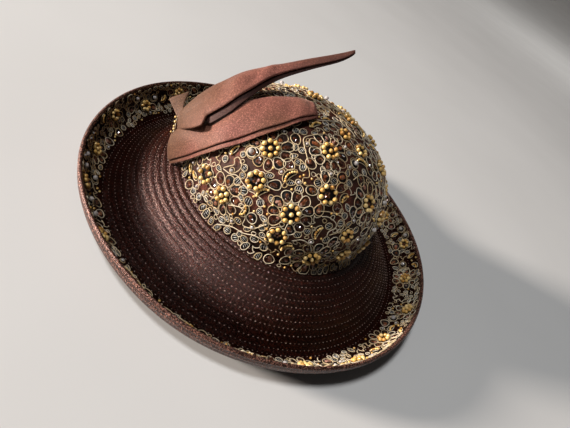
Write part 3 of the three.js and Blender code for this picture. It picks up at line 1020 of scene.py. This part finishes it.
def brim_cloth(material):
    half = BRIM_CLOTH / 2
    steps = np.linspace(0, BRIM.length, int(BRIM.length / ROW_PITCH * UPPER_STEPS_PER_ROW))
    upper = np.stack(BRIM.at(steps, half + upper_ridge(steps)), axis=1)
    lower_steps = np.linspace(0, BRIM.length, int(BRIM.length / ROW_PITCH * LOWER_STEPS_PER_ROW))
    lower = np.stack(BRIM.at(lower_steps, -half - ridge(lower_steps)), axis=1)
    lower[:, 1] = np.maximum(lower[:, 1], 0)
    turn = np.linspace(0, math.pi, 9)[1:-1]
    rim_radius, rim_height = BRIM.at(BRIM.length)
    rim_reach = rim_radius + half * np.cos(turn + math.pi)
    rim = np.stack([rim_reach, rim_height + half * np.sin(turn)], axis=1)[::-1]
    outline = np.vstack([lower, rim, upper[::-1]])
    rows = np.concatenate([lower_steps, np.full(len(rim), BRIM.length), steps[::-1]]) / ROW_PITCH
    # Painted highlight: tones for a painted grazing sheen on the rim's outer face and on the top edge of
    # its upper face
    outer_painted_sheen = np.clip((lower_steps - BRIM.length + PAINTED_RIM_BAND) / PAINTED_RIM_BAND_FADE, 0, 1)
    inner_painted_sheen = np.clip((steps - BRIM.length + WALL_LACE_TOP + 1.5) / 1.5, 0, 1)
    tones = np.concatenate([outer_painted_sheen, np.ones(len(rim)), inner_painted_sheen[::-1]])
    return revolved_cloth("brim_cloth", outline, rows, material, True, tones)


def crown_cloth(material):
    steps = np.linspace(0.6, CROWN.length, 90)
    outside = np.stack(CROWN.at(steps, 0.0), axis=1)
    inside = np.stack(CROWN.at(steps, -CROWN_CLOTH), axis=1)
    outline = np.vstack([outside, inside[::-1]])
    rows = np.concatenate([steps, steps[::-1]]) / ROW_PITCH
    return revolved_cloth("crown_cloth", outline, rows, material, False, np.zeros(len(rows)))


def brim_stitches(material):
    """A short thread on both faces of the brim at each stitch, in the groove between two rows."""
    gather = Gather()
    waist = [(0, 1, 0), (0, 0, 1), (0, -1, 0), (0, 0, -1)]
    template = np.array([(-1, 0, 0), *waist, (1, 0, 0)])
    template = template * [STITCH_HALF_LENGTH, STITCH_HALF_WIDTH, STITCH_HALF_WIDTH]
    faces = [(0, 2, 1), (0, 3, 2), (0, 4, 3), (0, 1, 4), (5, 1, 2), (5, 2, 3), (5, 3, 4), (5, 4, 1)]
    faces = np.array(faces)
    for row in range(1, int(BRIM.length / ROW_PITCH) + 1):
        distance = row * ROW_PITCH
        for side in (1, -1):
            radius, height = BRIM.at(distance, side * (BRIM_CLOTH / 2 + STITCH_STAND))
            if height < 1:
                continue
            count = int(TURN * radius / STITCH_PITCH)
            angles = (np.arange(count) + 0.37 * row) * TURN / count
            outward = np.array(BRIM.at(distance, side)) - np.array(BRIM.at(distance))
            in_shade = side < 0 and distance > BRIM.length - PAINTED_RIM_BAND
            for angle in angles:
                flat = np.array([math.cos(angle), math.sin(angle), 0])
                along = np.array([-flat[1], flat[0], 0])
                rise = flat * outward[0] + np.array([0, 0, outward[1]])
                basis = np.stack([along, np.cross(rise, along), rise])
                centre = ease(flat * radius + np.array([0, 0, height]))
                tone = 0.0 if in_shade else 0.2 + 0.8 * chance.random()
                gather.add(centre + template @ basis, None, faces, tone=tone)
    return gather.build("brim_stitches", material)


def dents(share, across, rows):
    """The lift of a tail's soft dents and swells, in millimetres."""
    lift = np.zeros(np.broadcast(share, across).shape)
    for centre, width, place, spread, height in rows:
        along_dent = np.exp(-(((share - centre) / width) ** 2))
        across_dent = np.exp(-(((across - place) / spread) ** 2))
        lift += height * along_dent * across_dent
    return lift


def painted_pocket_shade(lip, steps):
    """Painted shade: dark where a wide lip leaves the pocket between the two leaves open to view."""
    section = np.arange(SECTION_POINTS) * len(TAIL_SECTION) / SECTION_POINTS
    pocket = np.clip(np.minimum(section - POCKET[0], POCKET[1] - section) / 0.5, 0, 1)
    return np.tile(pocket * np.clip((lip - 0.75) / 0.15, 0, 1), steps)


def end_faces(count, last):
    """Quads across the first section and the last one, which close a loft."""
    faces = []
    for i in range(1, count // 2):
        a, b = i, (count - i) % count
        c, d = i + 1, (count - i - 1) % count
        if c != d:
            faces.append((a, b, d, c))
            faces.append((last + c, last + d, last + b, last + a))
    return np.array(faces)


def tail_cloth(name, rows, steps, dent_rows, opening, material):
    """A folded tail: a closed loft with rounded cloth edges, soft dents and a rounded end."""
    low = open_curve([row[0] for row in rows], np.linspace(0, 1, steps))
    fold = open_curve([row[1] for row in rows], np.linspace(0, 1, steps))
    across = fold - low
    width = np.linalg.norm(across, axis=1)
    along = unit(np.gradient(low, axis=0)) + unit(np.gradient(fold, axis=0))
    outward = -unit(np.cross(across, along))
    fullness = np.clip(width / FULL_TAIL_WIDTH, END_TAIL_SHARE, 1)[:, None]
    section = closed_curve(np.array(TAIL_SECTION), SECTION_POINTS)
    share = np.linspace(0, 1, steps)[:, None]
    parts_from, lip, hang, thickness, tuck = opening
    parted = np.clip((share - parts_from) / PARTING_SHARE, 0, 1)
    parted = parted * parted * (3 - 2 * parted)
    way = section[None, :, 0]
    front = section[None, :, 1] > FRONT_LEAF_ABOVE
    near_edge = np.clip(1 - way / FREE_EDGE, 0, 1)
    lift = section[None, :, 1] * (1 - (1 - thickness) * near_edge)
    lift = lift - tuck * parted * np.clip(-way / CLOSED_LIP, 0, 1)
    way = np.where(way < 0, way * (CLOSED_LIP + (lip - CLOSED_LIP) * parted), way)
    way = way - hang * (1 - parted) * near_edge * front
    lift = (lift + dents(share, way, dent_rows)) * fullness
    lift = lift + 0.1 * np.sin(31 * share + 5 * way) * np.sin(11 * share) * fullness
    corners = low[:, None] + across[:, None] * way[..., None] + outward[:, None] * lift[..., None]
    middle = low[:, None] + across[:, None] * np.clip(way[..., None], 0.04, 0.94)
    tip = np.clip((share[:, 0] - TIP_FROM) / (1 - TIP_FROM), 0, 1)[:, None, None]
    corners = middle + (corners - middle) * np.sqrt(1 - TIP_NARROWING * tip**2)
    caps = []
    forward = unit(along)
    for end, sign in ((0, -1), (-1, 1)):
        rings = []
        for shrink, push in END_RINGS:
            ring = middle[end] + (corners[end] - middle[end]) * shrink + sign * forward[end] * push
            rings.append(ring)
        caps.append(np.array(rings))
    loops = np.concatenate([caps[0][::-1], corners, caps[1]])
    sides = grid_quads(len(loops), SECTION_POINTS, False, True)
    ends = end_faces(SECTION_POINTS, (len(loops) - 1) * SECTION_POINTS)
    gather = Gather()
    gather.add(loops, np.vstack([sides, ends]), tone=painted_pocket_shade(lip, len(loops)))
    piece = gather.build(name, material)
    tidy_normals(piece)
    return piece


def tidy_normals(piece):
    work = bmesh.new()
    work.from_mesh(piece.data)
    bmesh.ops.remove_doubles(work, verts=work.verts, dist=1e-6)
    bmesh.ops.recalc_face_normals(work, faces=work.faces)
    work.to_mesh(piece.data)
    work.free()


# Materials

# The rows of the brim, counted from the crown, between which its cloth goes from glossy to dull, and its
# colour from painted light to painted shade
GLOSSY_PAINTED_LIGHT_ROW = 7.0
DULL_PAINTED_SHADE_ROW = 11.0

# Where the bow's cloth is given painted shade, in metres: along X towards its root, along Y towards its
# free tip
BOW_ROOT_PAINTED_SHADE = (-0.102, -0.072)
BOW_TIP_PAINTED_SHADE = (-0.006, 0.032)


class Shader:
    """A material whose nodes are added one line at a time."""

    def __init__(self, name, base, roughness, **sockets):
        self.material = bpy.data.materials.new(name)
        self.material.use_nodes = True
        self.tree = self.material.node_tree
        self.surface = self.tree.nodes["Principled BSDF"]
        self.surface.inputs["Base Color"].default_value = (*base, 1)
        self.surface.inputs["Roughness"].default_value = roughness
        for socket, value in sockets.items():
            self.surface.inputs[socket.replace("_", " ")].default_value = value

    def node(self, kind, **inputs):
        made = self.tree.nodes.new(kind)
        for name, value in inputs.items():
            self.feed(made, name.replace("_", " "), value)
        return made

    def feed(self, node, socket, value):
        place = node.inputs[int(socket)] if socket.isdigit() else node.inputs[socket]
        if isinstance(value, bpy.types.NodeSocket):
            self.tree.links.new(value, place)
        else:
            place.default_value = value

    def place(self):
        return self.node("ShaderNodeTexCoord").outputs["Object"]

    def split(self, vector):
        parts = self.node("ShaderNodeSeparateXYZ", Vector=vector).outputs
        return parts["X"], parts["Y"]

    def uv(self):
        return self.split(self.node("ShaderNodeTexCoord").outputs["UV"])

    def tone(self):
        """The tone that each small body or each corner of a cloth was given when it was made."""
        made = self.tree.nodes.new("ShaderNodeAttribute")
        made.attribute_name = "tone"
        return made.outputs["Fac"]

    def noise(self, scale, detail=2.0):
        made = self.node("ShaderNodeTexNoise", Vector=self.place(), Scale=scale, Detail=detail)
        return made.outputs["Fac"]

    def between(self, value, low, high, first=0.0, last=1.0):
        """A number that goes from first to last as the value goes from low to high."""
        made = self.node("ShaderNodeMapRange", Value=value, From_Min=low, From_Max=high)
        made.inputs["To Min"].default_value = first
        made.inputs["To Max"].default_value = last
        return made.outputs["Result"]

    def math(self, operation, first, second=0.0):
        made = self.tree.nodes.new("ShaderNodeMath")
        made.operation = operation
        self.feed(made, "0", first)
        self.feed(made, "1", second)
        return made.outputs[0]

    def ramp(self, value, stops):
        made = self.node("ShaderNodeValToRGB", Fac=value)
        elements = made.color_ramp.elements
        while len(elements) < len(stops):
            elements.new(0.5)
        for element, (position, colour) in zip(elements, stops):
            element.position = position
            element.color = (*colour, 1) if len(colour) == 3 else colour
        return made.outputs["Color"]

    def mix(self, share, first, second, blend="MIX"):
        made = self.tree.nodes.new("ShaderNodeMix")
        made.data_type = "RGBA"
        made.blend_type = blend
        for socket, value in (("Factor", share), ("A", first), ("B", second)):
            place = next(s for s in made.inputs if s.name == socket and s.enabled)
            if isinstance(value, bpy.types.NodeSocket):
                self.tree.links.new(value, place)
            else:
                place.default_value = value if socket == "Factor" else (*value, 1)
        return next(s for s in made.outputs if s.enabled)

    def times(self, first, second, share=1.0):
        return self.mix(share, first, second, "MULTIPLY")

    def colour(self, value):
        self.feed(self.surface, "Base Color", value)

    def bump(self, height, strength, distance):
        made = self.node("ShaderNodeBump", Height=height, Strength=strength, Distance=distance)
        self.feed(self.surface, "Normal", made.outputs["Normal"])


def brim_material():
    look = Shader(
        "brim_cloth", (0.03, 0.012, 0.008), 0.27, Sheen_Weight=0.06, Sheen_Roughness=0.2,
        Sheen_Tint=(0.95, 0.6, 0.5, 1), Specular_Tint=(1.0, 0.62, 0.55, 1),
    )
    along, row = look.uv()
    slant = look.math("ADD", along, look.math("MULTIPLY", row, 1.3))
    slant = look.math("ADD", slant, look.math("MULTIPLY", look.noise(260, 2), 1.6))
    rope = look.math("SINE", look.math("MULTIPLY", slant, TURN))
    # Near 1 at the seams between rows: it flattens the rope bump there and is used for painted shade in
    # the grooves
    from_middle = look.math("SUBTRACT", look.math("MULTIPLY", look.math("FRACT", row), 2), 1)
    groove = look.math("POWER", look.math("ABSOLUTE", from_middle), 5)
    speckle = look.noise(1350, 3)
    grain = look.noise(860, 3)
    patch = look.noise(45, 3)
    # Painted highlight at the rim: this tone brightens the colour and raises the shine there, as a painted
    # grazing sheen
    painted_rim_sheen = look.tone()
    gloss_and_painted_light = look.between(row, GLOSSY_PAINTED_LIGHT_ROW, DULL_PAINTED_SHADE_ROW, 0.72, 0.1)
    shine = look.math("MAXIMUM", gloss_and_painted_light, look.math("MULTIPLY", painted_rim_sheen, 0.5))
    look.feed(look.surface, "Specular IOR Level", shine)
    base = look.ramp(patch, [(0.3, (0.0092, 0.0021, 0.0012)), (0.7, (0.0162, 0.0038, 0.0021))])
    # Painted light and shade: the colour is painted brighter near the crown and dimmer towards the crease
    # and the wall
    painted_shade = look.times(base, (0.5, 0.42, 0.4))
    painted_light = look.times(base, (1.45, 1.5, 1.5))
    base = look.mix(look.math("MINIMUM", gloss_and_painted_light, 0.6), painted_shade, painted_light)
    # Painted highlight: the rim band is painted a paler brown
    base = look.mix(painted_rim_sheen, base, (0.065, 0.034, 0.026))
    # Fibre grain with painted glints: fine bright specks of colour all over the cloth
    grain_and_painted_glints = look.math("MULTIPLY", look.math("ADD", speckle, grain), 0.5)
    stops = [(0.43, (0.16, 0.13, 0.12)), (0.52, (1.0, 0.92, 0.88)), (0.6, (5.2, 4.7, 4.5))]
    colour = look.times(base, look.ramp(grain_and_painted_glints, stops))
    twist = look.math("MULTIPLY", look.math("ADD", rope, 1), 0.5)
    strands = look.ramp(twist, [(0.1, (0.82, 0.8, 0.79)), (0.75, (1.08, 1.07, 1.06))])
    colour = look.times(colour, strands)
    # Painted shade in the grooves between the rows
    look.colour(look.mix(look.math("MULTIPLY", groove, 0.9), colour, (0.002, 0.0008, 0.0006)))
    height = look.math("MULTIPLY", rope, look.math("SUBTRACT", 1, groove))
    height = look.math("MULTIPLY", height, look.math("ADD", 0.02, look.math("MULTIPLY", patch, 0.2)))
    height = look.math("ADD", height, speckle)
    height = look.math("ADD", height, look.math("MULTIPLY", grain, 2.0))
    look.bump(height, 0.72, 0.00042)
    return look.material


def crown_material():
    look = Shader(
        "crown_cloth", (0.03, 0.012, 0.008), 0.68, Sheen_Weight=0.05, Sheen_Roughness=0.4,
        Sheen_Tint=(0.9, 0.45, 0.36, 1), Specular_Tint=(1.0, 0.6, 0.48, 1),
    )
    speckle = look.noise(1400, 3)
    base = look.ramp(look.noise(45, 3), [(0.44, (0.009, 0.0034, 0.0025)), (0.6, (0.095, 0.027, 0.016))])
    fibre = look.ramp(speckle, [(0.4, (0.6, 0.55, 0.52)), (0.68, (2.0, 1.6, 1.5))])
    cells = look.node("ShaderNodeTexVoronoi", Vector=look.place(), Scale=520.0)
    cells.feature = "DISTANCE_TO_EDGE"
    net = look.math("LESS_THAN", cells.outputs["Distance"], 0.11)
    colour = look.mix(look.math("MULTIPLY", net, 0.8), look.times(base, fibre), (0.004, 0.003, 0.003))
    look.colour(colour)
    look.bump(look.math("ADD", speckle, net), 0.5, 0.0004)
    return look.material


def bow_material():
    look = Shader(
        "bow_cloth", (0.2, 0.08, 0.055), 0.58, Sheen_Weight=0.22, Sheen_Roughness=0.35,
        Sheen_Tint=(1.0, 0.66, 0.56, 1), Specular_Tint=(1.0, 0.72, 0.66, 1), Specular_IOR_Level=0.3,
    )
    grain = look.noise(1000, 4)
    fine = look.noise(450, 3)
    x, y = look.split(look.place())
    base = look.ramp(look.noise(28, 2), [(0.32, (0.13, 0.054, 0.034)), (0.66, (0.168, 0.062, 0.047))])
    # Painted shade towards the root and towards the free tip
    base = look.mix(look.between(x, *BOW_ROOT_PAINTED_SHADE), (0.078, 0.038, 0.019), base)
    base = look.mix(look.between(y, *BOW_TIP_PAINTED_SHADE), base, (0.05, 0.0175, 0.012))
    # Painted shade in the pocket under a wide lip
    base = look.mix(look.tone(), base, (0.022, 0.0065, 0.0045))
    stops = [(0.3, (0.66, 0.62, 0.61)), (0.52, (0.92, 0.9, 0.9)), (0.66, (1.95, 1.95, 1.98))]
    look.colour(look.times(base, look.ramp(grain, stops)))
    look.bump(look.math("ADD", grain, look.math("MULTIPLY", fine, 0.8)), 0.55, 0.0006)
    return look.material


def cord_material():
    look = Shader("cord", (0.66, 0.53, 0.3), 0.42, Sheen_Weight=0.3, Specular_IOR_Level=0.6)
    along, around = look.uv()
    phase = look.math("ADD", look.math("MULTIPLY", along, 0.8), around)
    ply = look.math("SINE", look.math("MULTIPLY", phase, TURN * 2))
    stops = [(0.0, (0.62, 0.42, 0.18)), (0.4, (0.84, 0.66, 0.4)), (1.0, (0.96, 0.84, 0.64))]
    shade = look.ramp(ply, [(0.0, (0.6, 0.58, 0.52)), (0.6, (1.05, 1.05, 1.05))])
    look.colour(look.times(look.ramp(look.tone(), stops), shade))
    look.bump(ply, 0.5, 0.0002)
    return look.material


def clouded(look, tones, share, scale, clouds, strength, distance):
    """A small part's look: its colour by tone, and over it a fine noise that is its bump too."""
    cloud = look.noise(scale, 2)
    colour = look.ramp(cloud, clouds)
    if tones:
        colour = look.times(look.ramp(look.tone(), tones), colour, share)
    look.colour(colour)
    look.bump(cloud, strength, distance)
    return look.material


def bead_material():
    look = Shader("beads", (0.6, 0.36, 0.1), 0.22, Coat_Weight=0.6, Coat_Roughness=0.08)
    tones = [(0.0, (0.46, 0.22, 0.05)), (0.4, (0.68, 0.42, 0.12)), (1.0, (0.84, 0.62, 0.27))]
    clouds = [(0.3, (0.55, 0.5, 0.4)), (0.6, (1.1, 1.1, 1.1))]
    return clouded(look, tones, 0.5, 420, clouds, 0.12, 0.0003)


def sequin_material():
    look = Shader(
        "sequins", (0.18, 0.06, 0.03), 0.12, Coat_Weight=1.0, Coat_Roughness=0.04,
        Specular_IOR_Level=0.8,
    )
    tones = [
        (0.0, (0.02, 0.007, 0.004)), (0.5, (0.09, 0.025, 0.009)), (0.85, (0.22, 0.07, 0.025)),
        (1.0, (0.4, 0.22, 0.17)),
    ]
    clouds = [(0.3, (0.4, 0.4, 0.4)), (0.7, (1.3, 1.3, 1.3))]
    return clouded(look, tones, 0.6, 900, clouds, 0.15, 0.0002)


def net_material():
    look = Shader("net", (0.012, 0.01, 0.01), 0.7, Specular_IOR_Level=0.15)
    clouds = [(0.4, (0.004, 0.0035, 0.0035)), (0.75, (0.02, 0.018, 0.018))]
    return clouded(look, None, 1.0, 2600, clouds, 0.6, 0.0003)


def silver_material():
    look = Shader("silver_thread", (0.5, 0.48, 0.46), 0.3, Metallic=0.25)
    clouds = [(0.35, (0.5, 0.48, 0.44)), (0.65, (0.95, 0.93, 0.88))]
    return clouded(look, None, 1.0, 1500, clouds, 0.3, 0.0001)


def stitch_material():
    look = Shader(
        "stitches", (0.2, 0.12, 0.1), 0.3, Specular_IOR_Level=0.9, Specular_Tint=(1.0, 0.9, 0.86, 1)
    )
    tones = [
        (0.1, (0.008, 0.004, 0.003)), (0.2, (0.09, 0.048, 0.034)), (0.6, (0.2, 0.12, 0.092)),
        (1.0, (0.5, 0.38, 0.33)),
    ]
    clouds = [(0.3, (0.5, 0.5, 0.5)), (0.7, (1.3, 1.3, 1.3))]
    return clouded(look, tones, 0.4, 3000, clouds, 0.3, 0.0001)


def clear_material():
    look = Shader("clear_beads", (0.92, 0.88, 0.85), 0.06, Transmission_Weight=0.55, IOR=1.5)
    clouds = [(0.3, (0.62, 0.55, 0.52)), (0.7, (0.98, 0.95, 0.93))]
    return clouded(look, None, 1.0, 700, clouds, 0.1, 0.0002)


def floor_material():
    look = Shader("floor", (0.78, 0.77, 0.75), 0.7)
    look.colour(look.ramp(look.noise(3, 3), [(0.3, (0.66, 0.655, 0.64)), (0.7, (0.7, 0.695, 0.68))]))
    return look.material


# Pieces

def dress():
    brim = brim_cloth(brim_material())
    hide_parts("brim")
    brim_stitches(stitch_material())
    crown = crown_cloth(crown_material())
    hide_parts("crown")
    looks = {
        "cords": (cord_material(), "cord", True),
        "beads": (bead_material(), "beads", True),
        "sequins": (sequin_material(), "sequins", False),
        "pads": (net_material(), "net", True),
        "threads": (silver_material(), "cord", True),
        "clear": (clear_material(), "clear_beads", True),
    }
    for node, lace in (("crown_lace", crown_lace()), ("brim_lace", wall_lace())):
        for part, (material, slot, smooth) in looks.items():
            piece = getattr(lace, part).build(f"{node}_{part}", material, smooth)
            if part == "cords":
                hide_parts(node)
    bow_look = bow_material()
    for node, (rows, steps, opening, flat) in TAILS.items():
        piece = tail_cloth(f"{node}_cloth", rows, steps, DENTS[node], opening, bow_look)
        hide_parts(node)


# Stage, camera and lights

CAMERA_PLACE = (0.0, -0.3361, 0.2760)
CAMERA_AIM = (0.0154, -0.0590, 0.0600)
CAMERA_ROLL = 35.6
CAMERA_LENS = 26.02
CAMERA_SENSOR = 36

# Discs of light: place, width in metres, watts, colour and the place aimed at
LIGHTS = {
    "key": ((-5.7, -1.86, 1.1), 1.0, 980, (1.0, 0.9, 0.82), (0, 0, 0.05)),
    "top": ((-2.4, -1.5, 5.7), 1.0, 220, (0.97, 0.98, 1.0), (0, 0, 0.05)),
    "backdrop": ((2.0, 3.5, 3.0), 2.0, 60, (1.0, 0.98, 0.96), (3.5, 7.0, 0.0)),
}
ROOM_COLOUR = (0.9, 0.87, 0.85, 1)
ROOM_STRENGTH = 0.035

# The floor's radius and height in metres: it is flat about the hat and rises far behind
FLOOR_PROFILE = [
    (0.4, 0), (1.5, 0), (4.0, 0), (5.5, 0.02), (7.0, 0.08), (8.5, 0.2), (10.0, 0.42), (11.5, 0.78),
]
FLOOR_SIDES = 64
FLOOR_GAP = 0.0002


def make_camera():
    data = bpy.data.cameras.new("camera")
    data.lens = CAMERA_LENS
    data.sensor_width = CAMERA_SENSOR
    camera = bpy.data.objects.new("camera", data)
    camera.location = CAMERA_PLACE
    aim = Vector(CAMERA_AIM) - Vector(CAMERA_PLACE)
    camera.rotation_mode = "QUATERNION"
    roll = Quaternion((0, 0, 1), math.radians(CAMERA_ROLL))
    camera.rotation_quaternion = aim.to_track_quat("-Z", "Y") @ roll
    data.clip_start = 0.01
    data.clip_end = 200
    bpy.context.scene.collection.objects.link(camera)
    bpy.context.scene.camera = camera


def area_light(name, place, size, watts, colour, aim):
    data = bpy.data.lights.new(name, "AREA")
    data.shape = "DISK"
    data.size = size
    data.energy = watts
    data.color = colour
    light = bpy.data.objects.new(name, data)
    light.location = place
    light.rotation_mode = "QUATERNION"
    light.rotation_quaternion = (Vector(aim) - Vector(place)).to_track_quat("-Z", "Y")
    bpy.context.scene.collection.objects.link(light)


def make_stage():
    corners = [(0, 0, 0)]
    for radius, height in FLOOR_PROFILE:
        corners += ring_corners(radius, height, FLOOR_SIDES)
    faces = [(0, 1 + i, 1 + (i + 1) % FLOOR_SIDES) for i in range(FLOOR_SIDES)]
    faces += (grid_quads(len(FLOOR_PROFILE), FLOOR_SIDES, False, True) + 1).tolist()
    mesh = bpy.data.meshes.new("floor")
    mesh.from_pydata(corners, [], faces)
    mesh.polygons.foreach_set("use_smooth", [True] * len(mesh.polygons))
    mesh.materials.append(floor_material())
    floor = bpy.data.objects.new("floor", mesh)
    floor.location = (0, 0, -FLOOR_GAP)
    bpy.context.scene.collection.objects.link(floor)
    world = bpy.data.worlds.new("studio")
    bpy.context.scene.world = world
    world.use_nodes = True
    room = world.node_tree.nodes["Background"]
    room.inputs["Color"].default_value = ROOM_COLOUR
    room.inputs["Strength"].default_value = ROOM_STRENGTH
    for name, setting in LIGHTS.items():
        area_light(name, *setting)
    bpy.context.scene.view_settings.view_transform = "Standard"


dress()
make_camera()
make_stage()
